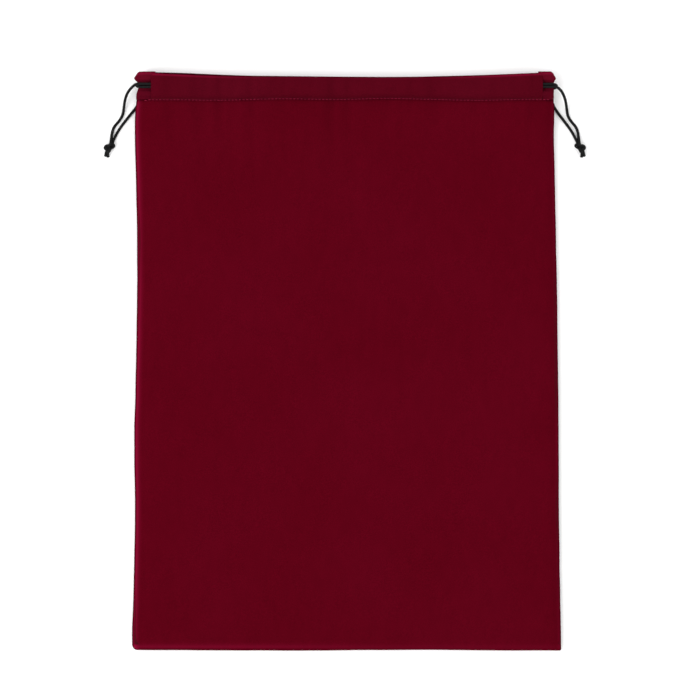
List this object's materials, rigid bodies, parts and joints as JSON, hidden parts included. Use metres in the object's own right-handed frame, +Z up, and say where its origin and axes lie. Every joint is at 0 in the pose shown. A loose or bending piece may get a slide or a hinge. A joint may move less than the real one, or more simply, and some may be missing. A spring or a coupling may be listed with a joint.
{
  "type": "drawstring gift sack",
  "caption": "Flat velvet drawstring pouch for wrapping a gift, with a cord through its hem knotted at each side.",
  "frame": {"origin": "middle of the underside, halfway between the bottom edge and the top of the hem", "axes": "+X across the sack to its right side, +Y along it towards the mouth, +Z up through the front panel"},
  "size_m": [0.3326, 0.4, 0.0146],
  "materials": {
    "velvet": "short-pile burgundy velvet with a soft sheen at its edges",
    "velvet_hem": "the same velvet, folded double and pressed at the hem",
    "sewing_thread": "burgundy polyester sewing thread",
    "cord": "fine braided black polyester cord"
  },
  "bodies": {
    "sack": {"front_panel": "velvet", "back_panel": "velvet", "front_hem": "velvet_hem", "back_hem": "velvet_hem", "left_seam_allowance": "velvet", "right_seam_allowance": "velvet", "bottom_seam_allowance": "velvet", "front_hem_stitching": "sewing_thread", "back_hem_stitching": "sewing_thread", "left_seam_stitching": "sewing_thread", "right_seam_stitching": "sewing_thread", "bottom_seam_stitching": "sewing_thread"},
    "left_pull": {"left_drawcord": "cord", "left_knot": "cord", "right_mouth_end": "velvet"},
    "right_pull": {"right_drawcord": "cord", "right_knot": "cord", "left_mouth_end": "velvet"}
  },
  "joints": [
    {"name": "left_cord_pull", "type": "slide", "parent": "sack", "child": "left_pull", "axis": [-1, 0, 0], "range_m": [0, 0.09], "deforming": ["front_hem", "back_hem"]},
    {"name": "right_cord_pull", "type": "slide", "parent": "sack", "child": "right_pull", "axis": [1, 0, 0], "range_m": [0, 0.09]}
  ]
}
